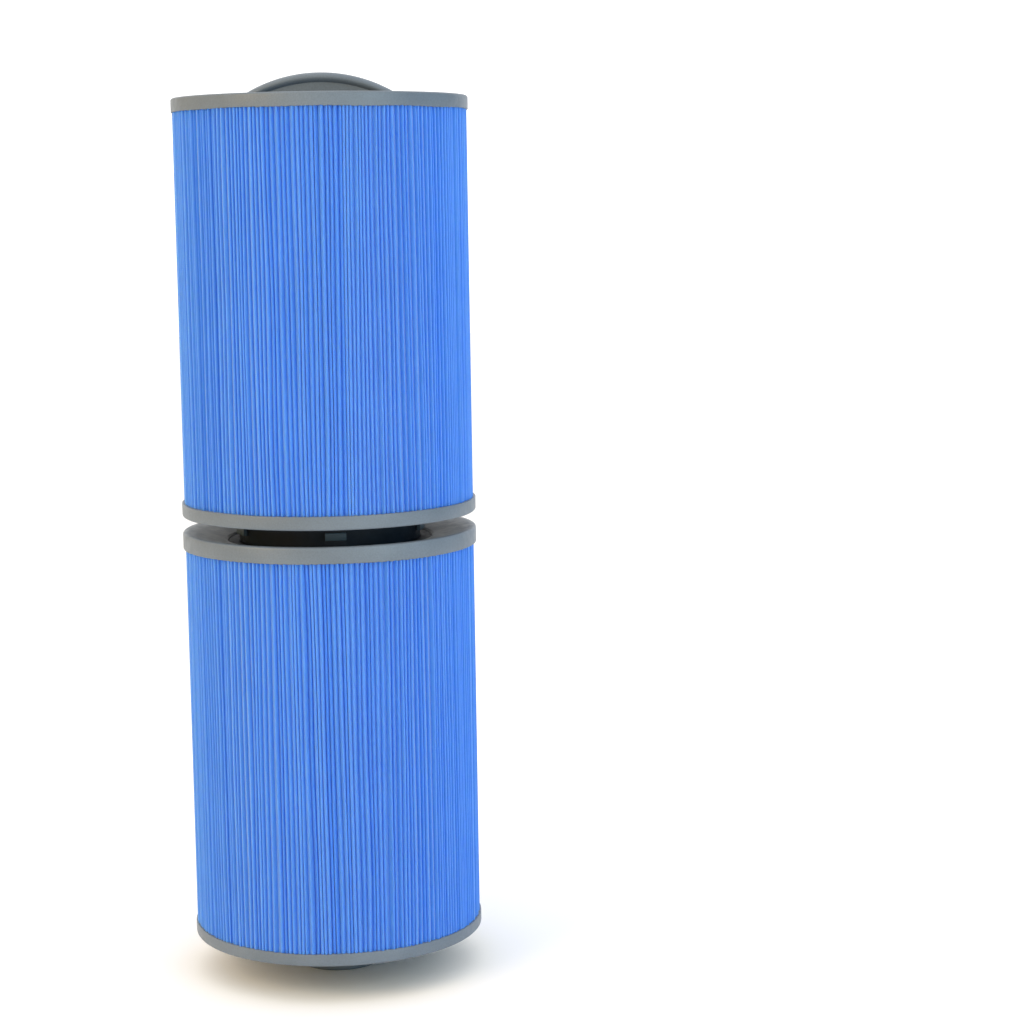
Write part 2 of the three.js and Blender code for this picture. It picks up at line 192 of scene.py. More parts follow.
def revolve(name, outline, segments=FINE, edit=None, sharp_degrees=40):
    """Solid of revolution about Z from a closed outline of (radius, height), anticlockwise."""
    angles = np.linspace(0, 2 * math.pi, segments, endpoint=False)
    radius = np.repeat(outline[:, 0][:, None], segments, axis=1)
    height = np.repeat(outline[:, 1][:, None], segments, axis=1)
    angle = np.repeat(angles[None, :], len(outline), axis=0)
    if edit:
        radius, height = edit(radius, height, angle)
    points = np.stack([radius * np.cos(angle), radius * np.sin(angle), height], axis=-1)
    faces = [f[::-1] for f in grid_faces(len(outline), segments, True, True)]
    piece = make_object(name, points.reshape(-1, 3), faces, sharp_degrees)
    clean(piece)
    return piece


def clean(piece):
    """Joins the points that meet on the axis, drops the faces that vanish and turns faces outwards."""
    mesh = bmesh.new()
    mesh.from_mesh(piece.data)
    bmesh.ops.remove_doubles(mesh, verts=mesh.verts, dist=1e-6)
    bmesh.ops.dissolve_degenerate(mesh, edges=mesh.edges, dist=1e-7)
    bmesh.ops.recalc_face_normals(mesh, faces=mesh.faces)
    mesh.to_mesh(piece.data)
    mesh.free()


def sector(inner, outer, middle, half_turn, bottom, top, radius=0.3 * MM, segments=10):
    """Block between two radii and two angles in degrees from the front, with softened edges."""
    outline = rounded([(inner, bottom), (outer, bottom), (outer, top), (inner, top)], radius, 3)
    start = math.radians(middle - half_turn + FRONT)
    end = math.radians(middle + half_turn + FRONT)
    angles = np.linspace(start, end, segments)
    points = [(r * math.cos(a), r * math.sin(a), z) for a in angles for r, z in outline]
    count = len(outline)
    faces = grid_faces(segments, count, False, True)
    faces.append(tuple(range(count))[::-1])
    faces.append(tuple(range((segments - 1) * count, segments * count)))
    piece = make_object("sector", points, faces)
    clean(piece)
    return piece


def boolean(piece, tools, operation):
    """Joins the tools to the piece, or cuts them from it, for good."""
    for tool in tools:
        modifier = piece.modifiers.new(operation, "BOOLEAN")
        modifier.operation = operation
        modifier.solver = "EXACT"
        modifier.object = tool
    apply_modifiers(piece)
    for tool in tools:
        bpy.data.objects.remove(tool)
    piece.data.shade_smooth()
    piece.data.set_sharp_from_angle(angle=math.radians(40))


def apply_modifiers(piece):
    depsgraph = bpy.context.evaluated_depsgraph_get()
    mesh = bpy.data.meshes.new_from_object(piece.evaluated_get(depsgraph))
    piece.modifiers.clear()
    piece.data = mesh


def around_locks(make):
    return [make(LOCK_START + index * LOCK_PITCH) for index in range(LOCK_COUNT)]


def waves(seed, count, slowest, fastest):
    """A repeatable wavy function of the angle round the axis, about 1 high."""
    random = np.random.default_rng(seed)
    turns = random.integers(slowest, fastest, count)
    phases = random.uniform(0, 2 * math.pi, count)
    heights = random.uniform(0.4, 1, count)

    def value(angle):
        total = sum(h * np.sin(t * angle + p) for h, t, p in zip(heights, turns, phases))
        return total / math.sqrt(count)

    return value


# ------------------------------------------------------------------ material helpers


class Finish:
    """A procedural material: one Principled shader and the nodes that feed it."""

    def __init__(self, name, **constants):
        self.material = bpy.data.materials.new(name)
        self.material.use_nodes = True
        self.tree = self.material.node_tree
        self.shader = self.tree.nodes["Principled BSDF"]
        for socket, value in constants.items():
            self.shader.inputs[socket.replace("_", " ")].default_value = value
        self.place = self.add("ShaderNodeTexCoord").outputs["Object"]

    def add(self, kind, settings=None, **links):
        node = self.tree.nodes.new(kind)
        for key, value in (settings or {}).items():
            setattr(node, key, value)
        for socket, value in links.items():
            self.feed(node.inputs[socket.replace("_", " ")], value)
        return node

    def feed(self, socket, value):
        if isinstance(value, bpy.types.NodeSocket):
            self.tree.links.new(value, socket)
        else:
            socket.default_value = value

    def stretched(self, x, y, z):
        node = self.add("ShaderNodeMapping", Vector=self.place)
        node.inputs["Scale"].default_value = (x, y, z)
        return node.outputs["Vector"]

    def noise(self, scale, detail=3.0, roughness=0.55, place=None):
        node = self.add("ShaderNodeTexNoise", Vector=place or self.place)
        node.inputs["Scale"].default_value = scale
        node.inputs["Detail"].default_value = detail
        node.inputs["Roughness"].default_value = roughness
        return node.outputs["Fac"]

    def ramp(self, factor, *stops):
        node = self.add("ShaderNodeValToRGB", Fac=factor)
        elements = node.color_ramp.elements
        while len(elements) < len(stops):
            elements.new(0.5)
        for element, (position, colour) in zip(elements, stops):
            element.position = position
            element.color = (*colour, 1) if len(colour) == 3 else colour
        return node.outputs["Color"]

    def range(self, factor, from_low, from_high, to_low, to_high):
        node = self.add("ShaderNodeMapRange", Value=factor)
        node.inputs["From Min"].default_value = from_low
        node.inputs["From Max"].default_value = from_high
        node.inputs["To Min"].default_value = to_low
        node.inputs["To Max"].default_value = to_high
        return node.outputs["Result"]

    def math(self, operation, first, second=0.0):
        node = self.add("ShaderNodeMath", {"operation": operation})
        self.feed(node.inputs[0], first)
        self.feed(node.inputs[1], second)
        return node.outputs["Value"]

    def mix(self, factor, first, second, blend="MIX"):
        node = self.add("ShaderNodeMix", {"data_type": "RGBA", "blend_type": blend})
        self.feed(node.inputs["Factor"], factor)
        self.feed(node.inputs["A"], first)
        self.feed(node.inputs["B"], second)
        return node.outputs["Result"]

    def bump(self, height, strength, distance):
        node = self.add("ShaderNodeBump", Height=height)
        node.inputs["Strength"].default_value = strength
        node.inputs["Distance"].default_value = distance
        self.feed(self.shader.inputs["Normal"], node.outputs["Normal"])

    def radius(self):
        """Distance from the cartridge's axis."""
        node = self.add("ShaderNodeVectorMath", {"operation": "LENGTH"})
        self.feed(node.inputs[0], self.stretched(1, 1, 0))
        return node.outputs["Value"]

    def colour(self, value):
        self.feed(self.shader.inputs["Base Color"], value)

    def roughness(self, value):
        self.feed(self.shader.inputs["Roughness"], value)


def srgb(red, green, blue):
    """Linear colour from the 0 to 255 values that a picture shows."""
    return tuple(
        (c / 255 / 12.92) if c / 255 <= 0.04045 else ((c / 255 + 0.055) / 1.055) ** 2.4
        for c in (red, green, blue)
    )


def cap_finish():
    """Cast urethane: satin, faintly cloudy, with fine grain and a few pinholes."""
    f = Finish("cap_urethane", Specular_IOR_Level=0.5)
    cloud = f.noise(28, 2.0)
    grain = f.noise(1400, 2.0)
    body = f.ramp(cloud, (0.3, srgb(92, 104, 118)), (0.7, srgb(102, 114, 128)))
    speck = f.ramp(grain, (0.35, (0.92, 0.92, 0.92)), (0.65, (1.05, 1.05, 1.05)))
    f.colour(f.mix(1.0, body, speck, "MULTIPLY"))
    f.roughness(f.range(f.noise(220), 0.3, 0.7, 0.36, 0.5))
    f.bump(f.math("ADD", f.noise(420, 2.0), f.math("MULTIPLY", grain, 0.4)), 0.3, 0.15 * MM)
    return f.material


def moulded_finish():
    """Injection-moulded neck: smoother than the caps."""
    f = Finish("moulded_plastic", Specular_IOR_Level=0.45)
    f.colour(f.ramp(f.noise(60), (0.3, srgb(89, 101, 115)), (0.7, srgb(99, 111, 125))))
    f.roughness(f.range(f.noise(300), 0.3, 0.7, 0.32, 0.44))
    f.bump(f.noise(700), 0.12, 0.1 * MM)
    return f.material


def media_finish():
    """Blue spun-bonded polyester: random fine fibres, with painted shade that darkens the colour deep in
    the pleat valleys and lightens it towards the crest tips.
    """
    f = Finish(
        "pleated_fabric",
        Specular_IOR_Level=0.2,
        Sheen_Weight=0.15,
        Sheen_Roughness=0.5,
        Subsurface_Weight=0.8,
        Subsurface_Radius=(0.5, 0.9, 1.6),
        Subsurface_Scale=0.9 * MM,
    )
    fibres = f.noise(2600, 3.0, 0.6, f.stretched(1, 1, 0.18))
    cross = f.noise(3400, 2.0, 0.6, f.stretched(0.35, 0.35, 1))
    weave = f.math("ADD", f.math("MULTIPLY", fibres, 0.6), f.math("MULTIPLY", cross, 0.4))
    # Painted shade: the colour darkens from the crest tips down into the pleat valleys, and the crest
    # tips are painted paler.
    inner, outer = MEDIA_RADIUS - 3 * MM, MEDIA_RADIUS - 0.1 * MM
    valley_shade_depth = f.range(f.radius(), inner, outer, 0.0, 1.0)
    body = f.ramp(
        valley_shade_depth,
        (0.0, srgb(32, 98, 220)),
        (0.6, srgb(58, 120, 225)),
        (1.0, srgb(84, 138, 228)),
    )
    thread = f.ramp(weave, (0.3, (0.9, 0.92, 0.94)), (0.7, (1.07, 1.06, 1.04)))
    cloud = f.ramp(f.noise(38, 3.0), (0.3, (0.95, 0.96, 0.97)), (0.7, (1.04, 1.03, 1.02)))
    f.colour(f.mix(1.0, f.mix(1.0, body, thread, "MULTIPLY"), cloud, "MULTIPLY"))
    f.roughness(f.range(weave, 0.3, 0.7, 0.8, 0.95))
    f.bump(weave, 0.5, 0.12 * MM)
    return f.material


def coupling_finish():
    """Dark moulded ring, with a painted highlight: its finger lugs and whatever else reaches past the
    collar are painted paler than the collar.
    """
    f = Finish("coupling_plastic", Specular_IOR_Level=0.45)
    body = f.ramp(f.noise(90), (0.3, srgb(20, 31, 46)), (0.7, srgb(29, 42, 59)))
    # Painted highlight: beyond the collar's radius the colour turns paler, standing in for light
    # catching the lugs and the flange.
    lug_highlight = f.range(f.radius(), COLLAR_RADIUS + 0.3 * MM, COLLAR_RADIUS + 1.2 * MM, 0.0, 1.0)
    f.colour(f.mix(lug_highlight, body, (*srgb(78, 98, 116), 1)))
    f.roughness(f.range(f.noise(400), 0.3, 0.7, 0.36, 0.52))
    f.bump(f.noise(900, 2.0), 0.2, 0.08 * MM)
    return f.material


def socket_finish():
    """Dark moulded sockets that take the ring's ends."""
    f = Finish("socket_plastic", Specular_IOR_Level=0.35)
    f.colour(f.ramp(f.noise(90), (0.3, srgb(18, 28, 42)), (0.7, srgb(26, 38, 54))))
    f.roughness(f.range(f.noise(400), 0.3, 0.7, 0.5, 0.65))
    f.bump(f.noise(900, 2.0), 0.2, 0.08 * MM)
    return f.material


def core_finish():
    """Pale moulded core tube."""
    f = Finish("core_plastic", Specular_IOR_Level=0.45)
    f.colour(f.ramp(f.noise(70), (0.3, srgb(205, 211, 216)), (0.7, srgb(222, 227, 231))))
    f.roughness(f.range(f.noise(350), 0.3, 0.7, 0.38, 0.5))
    f.bump(f.noise(800), 0.15, 0.1 * MM)
    return f.material


def rubber_finish():
    """Black O-ring rubber."""
    f = Finish("seal_rubber", Specular_IOR_Level=0.35)
    f.colour(f.ramp(f.noise(200), (0.3, srgb(18, 18, 19)), (0.7, srgb(30, 30, 31))))
    f.roughness(f.range(f.noise(600), 0.3, 0.7, 0.5, 0.7))
    f.bump(f.noise(1500), 0.2, 0.05 * MM)
    return f.material


def floor_finish():
    f = Finish("floor_paint", Specular_IOR_Level=0.2)
    f.colour(f.ramp(f.noise(6), (0.3, (0.91, 0.91, 0.915)), (0.7, (0.93, 0.93, 0.935))))
    f.roughness(f.range(f.noise(30), 0.3, 0.7, 0.7, 0.8))
    return f.material


# ------------------------------------------------------------------ pleated media

PLEATS = 200
FABRIC = 0.45 * MM  # thickness
CLOSEST_CRESTS = 1.55 * MM
POTTED = 2.5 * MM  # how far the pleats run into each cap
CREST_HALF = 0.32 * MM  # from a pleat's middle plane to the fabric's middle line
FOLD_HALF = 0.26 * MM  # the same at an inner fold
SHOULDER_DEPTH = 0.65 * MM  # how far in a pleat has spread to nearly its full width
SHOULDER_HALF = 0.32 * MM  # half the distance there to the next pleat's middle line
MEETING_DEPTH = 3.0 * MM  # how far in the legs of neighbouring pleats close up
MEDIA_ROWS = 21


def pleat_path(shift, crest_radius, crest_half, inner_radius):
    """The fabric's middle line at one height: out along one leg, round the crest and back."""
    count = len(shift)
    pitch = 2 * math.pi / count
    index = np.arange(count)
    crest_angle = index * pitch + shift / MEDIA_RADIUS
    before = (index - 0.5) * pitch + (shift + np.roll(shift, 1)) / 2 / MEDIA_RADIUS
    after = (index + 0.5) * pitch + (shift + np.roll(shift, -1)) / 2 / MEDIA_RADIUS
    meeting = np.full(count, MEDIA_RADIUS - MEETING_DEPTH)
    shoulder = crest_radius - SHOULDER_DEPTH
    columns = []

    def point(angle, sideways, radius):
        columns.append(np.stack([radius, angle + sideways / radius], axis=-1))

    point(before, FOLD_HALF, meeting)
    point(before, SHOULDER_HALF, shoulder)
    crest_centre = crest_radius - crest_half
    for turn in np.radians([-75, -45, -15, 15, 45, 75]):
        radius = crest_centre + crest_half * math.cos(turn)
        point(crest_angle, crest_half * math.sin(turn), radius)
    point(after, -SHOULDER_HALF, shoulder)
    point(after, -FOLD_HALF, meeting)
    fold_centre = inner_radius + FOLD_HALF
    for turn in np.radians([-90, 0, 90]):
        radius = np.full(count, fold_centre - FOLD_HALF * math.cos(turn))
        point(after, FOLD_HALF * math.sin(turn), radius)
    path = np.stack(columns, axis=1).reshape(-1, 2)
    return np.stack([path[:, 0] * np.cos(path[:, 1]), path[:, 0] * np.sin(path[:, 1])], axis=-1)


def bunching(random, around):
    """Slow drifts of the pleats to one side or the other, which lean a little up the height."""
    turns = np.concatenate([random.integers(2, 9, 4), random.integers(9, 48, 12)])
    phases = random.uniform(0, 2 * math.pi, len(turns))
    drifts = random.uniform(-1.4, 1.4, len(turns))
    sizes = np.concatenate([random.uniform(0.3, 0.7, 4), random.uniform(0.08, 0.2, 12)]) * MM

    def shift(share):
        waves = zip(sizes, turns, phases, drifts)
        return sum(s * np.sin(t * around + p + d * share) for s, t, p, d in waves)

    return shift


def pleated_media(node, seed):
    bottom, top = low(node) - POTTED, high(node) + POTTED
    random = np.random.default_rng(seed)
    around = np.arange(PLEATS) * 2 * math.pi / PLEATS
    bunch = bunching(random, around)
    own_shift = random.normal(0, 0.36 * MM, PLEATS)
    own_bow = random.normal(0, 0.15 * MM, (3, PLEATS))
    crest_drop = np.minimum(np.abs(random.normal(0, 0.4 * MM, PLEATS)), 1.0 * MM)
    half = CREST_HALF * random.uniform(0.85, 1.5, PLEATS)
    inner = CORE_RADIUS + 0.6 * MM
    closest = 2 * MEDIA_RADIUS * math.pi / PLEATS - CLOSEST_CRESTS
    rings = []
    heights = np.linspace(0, 1, MEDIA_ROWS)
    for share in heights:
        bow = sum(own_bow[n] * math.sin((n + 1) * math.pi * share) for n in range(3))
        shift = bunch(share) + own_shift + bow
        for _ in range(6):
            step = np.roll(shift, -1) - shift
            crowded = np.minimum(step + closest, 0) / 2
            shift = shift + crowded - np.roll(crowded, 1)
        rings.append(pleat_path(shift, MEDIA_RADIUS - FABRIC / 2 - crest_drop, half, inner))
    flat_width = float(np.linalg.norm(np.roll(rings[0], -1, axis=0) - rings[0], axis=1).sum())
    count = len(rings[0])
    skins = []
    for side in (1, -1):
        skin = []
        for ring, share in zip(rings, heights):
            along = np.roll(ring, -1, axis=0) - np.roll(ring, 1, axis=0)
            along /= np.linalg.norm(along, axis=1)[:, None]
            outward = np.stack([along[:, 1], -along[:, 0]], axis=-1)
            flat = ring + side * outward * FABRIC / 2
            level = np.full((count, 1), bottom + (top - bottom) * share)
            skin.append(np.hstack([flat, level]))
        skins.append(np.concatenate(skin))
    size = MEDIA_ROWS * count
    faces = grid_faces(MEDIA_ROWS, count, False, True)
    faces += [f[::-1] for f in grid_faces(MEDIA_ROWS, count, False, True, size)]
    for column in range(count):
        after = (column + 1) % count
        faces.append((column, column + size, after + size, after))
        last = size - count
        faces.append((last + column, last + after, last + after + size, last + column + size))
    piece = make_object(node + "_pleats", np.concatenate(skins), faces, 75)
    return piece, flat_width, top - bottom


# ------------------------------------------------------------------ caps

RIM_ROUND = 1.2 * MM
CAST_EDGE = 0.35 * MM  # rounding of the edge that meets the pleats


def ragged_edge(edge_height, seed):
    """Lets the cast edge that meets the pleats wander up and down a little."""
    slow = waves(seed, 5, 3, 14)
    pleat = waves(seed + 1, 7, 60, 190)

    def edit(radius, height, angle):
        near = np.abs(height - edge_height) < 0.9 * MM
        outer = radius > CAP_RADIUS - 2.6 * MM
        lift = (0.16 * slow(angle) + 0.16 * pleat(angle)) * MM
        return radius, np.where(near & outer, height + lift, height)

    return edit


def neck_cap():
    throat = NECK_THROAT + FIT
    outer = reach("neck_cap")
    pocket = reach("threaded_neck") + FIT
    top = high("neck_cap")
    outline = rounded(
        [
            (throat, NECK_FACE + 1 * MM),
            (NECK_SEAT_RADIUS, NECK_FACE + 1 * MM),
            (NECK_SEAT_RADIUS, NECK_FACE, 0.4 * MM),
            (outer, NECK_FACE, RIM_ROUND),
            (outer, top, CAST_EDGE),
            (pocket, top),
            (pocket, NECK_FACE + 3 * MM),
            (throat, NECK_FACE + 3 * MM),
        ],
        0.3 * MM,
    )
    return revolve("neck_cap_cast", outline, CAST_FACETS, ragged_edge(top, 11))


def lower_inner_cap():
    bottom = LOWER_RIM - DEEP_CAP_HEIGHT
    land = CAP_RADIUS - 3 * MM
    outline = rounded(
        [
            (HUB_RADIUS, bottom),
            (CAP_RADIUS, bottom, CAST_EDGE),
            (CAP_RADIUS, LOWER_RIM, RIM_ROUND),
            (land, LOWER_RIM, 3 * MM),
            (HUB_RADIUS + 1 * MM, LOWER_RIM - 4.2 * MM, 0.6 * MM),
            (HUB_RADIUS, LOWER_RIM - 5.2 * MM, 0.4 * MM),
        ],
        0.3 * MM,
    )
    return revolve("lower_inner_cap_cast", outline, CAST_FACETS, ragged_edge(bottom, 23))


def upper_inner_cap():
    top = UPPER_RIM + CAP_HEIGHT
    groove_inner, groove_outer = CAP_RADIUS - 12 * MM, CAP_RADIUS - 9 * MM
    outline = rounded(
        [
            (HUB_RADIUS, UPPER_RIM),
            (groove_inner, UPPER_RIM, 0.5 * MM),
            (groove_inner, UPPER_RIM + 3.5 * MM, 0.8 * MM),
            (groove_outer, UPPER_RIM + 3.5 * MM, 0.8 * MM),
            (groove_outer, UPPER_RIM, 0.5 * MM),
            (CAP_RADIUS, UPPER_RIM, RIM_ROUND),
            (CAP_RADIUS, top, CAST_EDGE),
            (HUB_RADIUS, top),
        ],
        0.3 * MM,
    )
    return revolve("upper_inner_cap_cast", outline, CAST_FACETS, ragged_edge(top, 37))


def handle_cap():
    wall = 3 * MM
    floor_radius = BOWL_RADIUS - 4 * MM
    deep = HANDLE_FACE - BOWL_DEPTH
    outer = reach("handle_cap")
    under = HANDLE_FACE - CAP_HEIGHT
    outline = rounded(
        [
            (0, deep - wall),
            (floor_radius + wall - 1 * MM, deep - wall, 2 * MM),
            (BOWL_RADIUS + wall, under, 0.5 * MM),
            (outer, under, CAST_EDGE),
            (outer, HANDLE_FACE, RIM_ROUND),
            (BOWL_RADIUS, HANDLE_FACE, 2 * MM),
            (floor_radius, deep, 3 * MM),
            (0, deep),
        ],
        0.3 * MM,
        6,
    )
    return revolve("handle_cap_cast", outline, CAST_FACETS, ragged_edge(under, 53))


# ------------------------------------------------------------------ grip

GRIP_BEAD_WIDTH = 9 * MM
GRIP_BEAD_DEPTH = 5.4 * MM
GRIP_WEB = 5 * MM


def grip_handle():
    """Arched fin: at each station along X a thin web with a rounded bead on top."""
    half_chord = reach("grip_handle")
    crown = high("grip_handle")
    foot = low("grip_handle")
    rise = crown - HANDLE_FACE
    arc = (half_chord**2 + rise**2) / (2 * rise)
    centre = crown - arc
    reach_x = half_chord - 0.4 * MM
    stations = np.sin(np.linspace(-math.pi / 2, math.pi / 2, 61)) * reach_x
    bead_turns = np.radians(np.linspace(-80, 260, 19))
    rings = []
    for x in stations:
        top = centre + math.sqrt(arc**2 - x**2)
        taper = math.sqrt(max(1e-4, 1 - (abs(x) / (reach_x + 0.3 * MM)) ** 10))
        bead_half = GRIP_BEAD_WIDTH / 2 * (0.55 + 0.45 * taper)
        web_half = GRIP_WEB / 2 * (0.55 + 0.45 * taper)
        middle = top - GRIP_BEAD_DEPTH / 2
        ring = []
        ring.append((x, -web_half, foot))
        ring.append((x, web_half, foot))
        ring.append((x, web_half, foot + 2 * MM))
        ring.append((x, web_half, (foot + middle) / 2))
        for turn in bead_turns:
            y = bead_half * math.cos(turn)
            z = middle + GRIP_BEAD_DEPTH / 2 * math.sin(turn)
            low_side = math.sin(turn) < -0.5
            y = math.copysign(max(abs(y), web_half), y) if low_side else y
            ring.append((x, y, z))
        ring.append((x, -web_half, (foot + middle) / 2))
        ring.append((x, -web_half, foot + 2 * MM))
        rings.append(ring)
    count = len(rings[0])
    points = [p for ring in rings for p in ring]
    faces = grid_faces(len(rings), count, False, True)
    faces.append(tuple(range(count))[::-1])
    faces.append(tuple(range((len(rings) - 1) * count, len(rings) * count)))
    piece = make_object("grip_handle_moulded", points, faces, 50)
    clean(piece)
    return piece


# ------------------------------------------------------------------ neck

THREAD_HEIGHT = 3 * MM
THREAD_PITCH = 6 * MM
THREAD_START = 2.6 * MM
THREAD_TURNS = 2.2
THREAD_FADE = 0.16  # share of a turn in which the ridge fades out


def thread_ridge(radius, height, angle):
    """Raises the neck's outer wall along a right-handed helix that fades at both ends."""
    rise = np.zeros_like(radius)
    for turn in range(4):
        travelled = angle / (2 * math.pi) + turn
        level = THREAD_START + THREAD_PITCH * travelled
        fade = np.clip(np.minimum(travelled, THREAD_TURNS - travelled) / THREAD_FADE, 0, 1)
        fade = fade * fade * (3 - 2 * fade)
        off = np.abs(height - level)
        flank = np.clip((2.2 * MM - off) / (1.55 * MM), 0, 1)
        rise = np.maximum(rise, fade * np.sin(flank * math.pi / 2) ** 1.2)
    wall = np.abs(radius - NECK_RADIUS) < 0.02 * MM
    return np.where(wall, radius + THREAD_HEIGHT * rise, radius), height


def threaded_neck():
    flange = reach("threaded_neck")
    top = high("threaded_neck")
    corners = [(NECK_BORE, 0, 0.3 * MM), (NECK_RADIUS - 0.6 * MM, 0, 0.3 * MM)]
    wall = [(NECK_RADIUS, z) for z in np.arange(0.7, 17.3, 0.2) * MM]
    collar = [
        (NECK_RADIUS + 0.3 * MM, NECK_FACE - 2.0 * MM),
        (NECK_RADIUS + 1.2 * MM, NECK_FACE - 1.5 * MM),
        (NECK_RADIUS + 2.5 * MM, NECK_FACE - 1.1 * MM),
        (NECK_RADIUS + 2.7 * MM, NECK_FACE - 0.9 * MM),
        (NECK_RADIUS + 2.7 * MM, NECK_FACE - 0.1 * MM),
        (NECK_THROAT, NECK_FACE - 0.1 * MM),
        (NECK_THROAT, NECK_FACE + 3.3 * MM),
        (flange, NECK_FACE + 3.3 * MM),
        (flange, top),
        (NECK_BORE, top),
    ]
    start = rounded([*corners, wall[0], (NECK_RADIUS, top), (NECK_BORE, top)], 0.3 * MM, 3)
    lip = [point for point in start if point[1] < 0.65 * MM]
    outline = np.array([*lip, *wall, *collar])
    return revolve("threaded_neck_moulded", outline, 180, thread_ridge, 55)


# ------------------------------------------------------------------ twist lock


def coupling_ring():
    bottom, top = low("coupling_ring"), high("coupling_ring")
    shoulder = LOWER_RIM - SEAT_DEPTH
    flange_top = UPPER_RIM - FIT
    flange_bottom = flange_top - FLANGE_HEIGHT
    flange = reach("coupling_ring")
    groove = SEAL_CENTRE - SEAL_RADIUS - FIT
    room = SEAL_RADIUS + 0.25 * MM
    corners = [(COUPLING_BORE, bottom), (SPIGOT_RADIUS, bottom, 0.8 * MM)]
    seal_levels = [(low(n) + high(n)) / 2 for n in ("lower_seal", "upper_seal")]

    def seal_groove(level):
        return [
            (SPIGOT_RADIUS, level - room),
            (groove, level - room),
            (groove, level + room),
            (SPIGOT_RADIUS, level + room),
        ]

    corners += seal_groove(seal_levels[0])
    corners += [(SPIGOT_RADIUS, shoulder), (COLLAR_RADIUS, shoulder, 0.4 * MM)]
    corners += [(COLLAR_RADIUS, flange_bottom), (flange, flange_bottom), (flange, flange_top)]
    corners += [(SPIGOT_RADIUS, flange_top)]
    corners += seal_groove(seal_levels[1])
    corners += [(SPIGOT_RADIUS, top, 0.8 * MM), (COUPLING_BORE, top)]
    ring = revolve("coupling_ring_moulded", rounded(corners, 0.2 * MM, 3))
    tab_bottom = shoulder - FIT - TAB_HEIGHT
    root = SPIGOT_RADIUS - 1 * MM
    tip = SPIGOT_RADIUS + LUG_DEPTH
    lug_low, lug_top = tab_bottom - FIT - LUG_HEIGHT, tab_bottom - FIT
    grip_low = LOWER_RIM - 0.6 * MM
    key_top = top - 1.5 * MM
    blocks = around_locks(lambda a: sector(root, tip, a, LUG_HALF_TURN, lug_low, lug_top))
    blocks += around_locks(
        lambda a: sector(
            COLLAR_RADIUS - 1 * MM,
            COLLAR_RADIUS + LUG_DEPTH,
            a,
            LUG_HALF_TURN,
            grip_low,
            grip_low + GRIP_LUG_HEIGHT,
            0.6 * MM,
        )
    )
    key_low = key_top - KEY_LENGTH
    blocks += around_locks(lambda a: sector(root, tip, a, KEY_HALF_TURN, key_low, key_top))
    boolean(ring, blocks, "UNION")
    return ring


def lock_socket():
    bottom = low("lock_socket")
    ledge = LOWER_RIM - DEEP_CAP_HEIGHT
    tab_top = high("lock_socket")
    tab_bottom = tab_top - TAB_HEIGHT
    flange = reach("lock_socket")
    outline = rounded(
        [
            (SOCKET_BORE, bottom),
            (SOCKET_RADIUS, bottom),
            (SOCKET_RADIUS, ledge),
            (flange, ledge),
            (flange, tab_top),
            (TAB_RADIUS, tab_top, 0.5 * MM),
            (TAB_RADIUS, tab_bottom),
            (SOCKET_BORE, tab_bottom),
        ],
        0.25 * MM,
        3,
    )
    socket = revolve("lock_socket_moulded", outline)
    slots = around_locks(
        lambda a: sector(
            TAB_RADIUS - 2 * MM,
            SOCKET_BORE,
            a + UNLOCK_TURN,
            SLOT_HALF_TURN,
            tab_bottom - 1 * MM,
            tab_top + 1 * MM,
        )
    )
    boolean(socket, slots, "DIFFERENCE")
    stop_low = tab_bottom - LUG_HEIGHT - 0.6 * MM
    stops = []
    for offset in (-STOP_GAP, UNLOCK_TURN + STOP_GAP):
        stops += around_locks(
            lambda a: sector(
                TAB_RADIUS,
                SOCKET_BORE + 0.6 * MM,
                a + offset,
                STOP_HALF_TURN,
                stop_low,
                tab_bottom + 0.5 * MM,
                0.2 * MM,
                4,
            )
        )
    boolean(socket, stops, "UNION")
    return socket


def key_socket():
    mouth_top = UPPER_RIM + 7.3 * MM
    ledge = UPPER_RIM + CAP_HEIGHT
    top = high("key_socket")
    outline = rounded(
        [
            (SOCKET_BORE, UPPER_RIM, 0.6 * MM),
            (HUB_RADIUS - FIT, UPPER_RIM),
            (HUB_RADIUS - FIT, ledge),
            (SOCKET_RADIUS, ledge),
            (SOCKET_RADIUS, top),
            (TAB_RADIUS, top),
            (TAB_RADIUS, mouth_top, 0.5 * MM),
            (SOCKET_BORE, mouth_top),
        ],
        0.25 * MM,
        3,
    )
    socket = revolve("key_socket_moulded", outline)
    half_turn = KEY_HALF_TURN + 0.6
    way_low, way_high = mouth_top - 1 * MM, top + 1 * MM
    ways = around_locks(
        lambda a: sector(TAB_RADIUS - 2 * MM, SOCKET_BORE, a, half_turn, way_low, way_high)
    )
    boolean(socket, ways, "DIFFERENCE")
    return socket


def seal(node):
    level = (low(node) + high(node)) / 2
    turns = np.linspace(0, 2 * math.pi, 16, endpoint=False)
    across = SEAL_CENTRE + SEAL_RADIUS * np.cos(turns)
    section = np.stack([across, level + SEAL_RADIUS * np.sin(turns)], axis=-1)
    return revolve(node + "_ring", section, 144)


# ------------------------------------------------------------------ cores


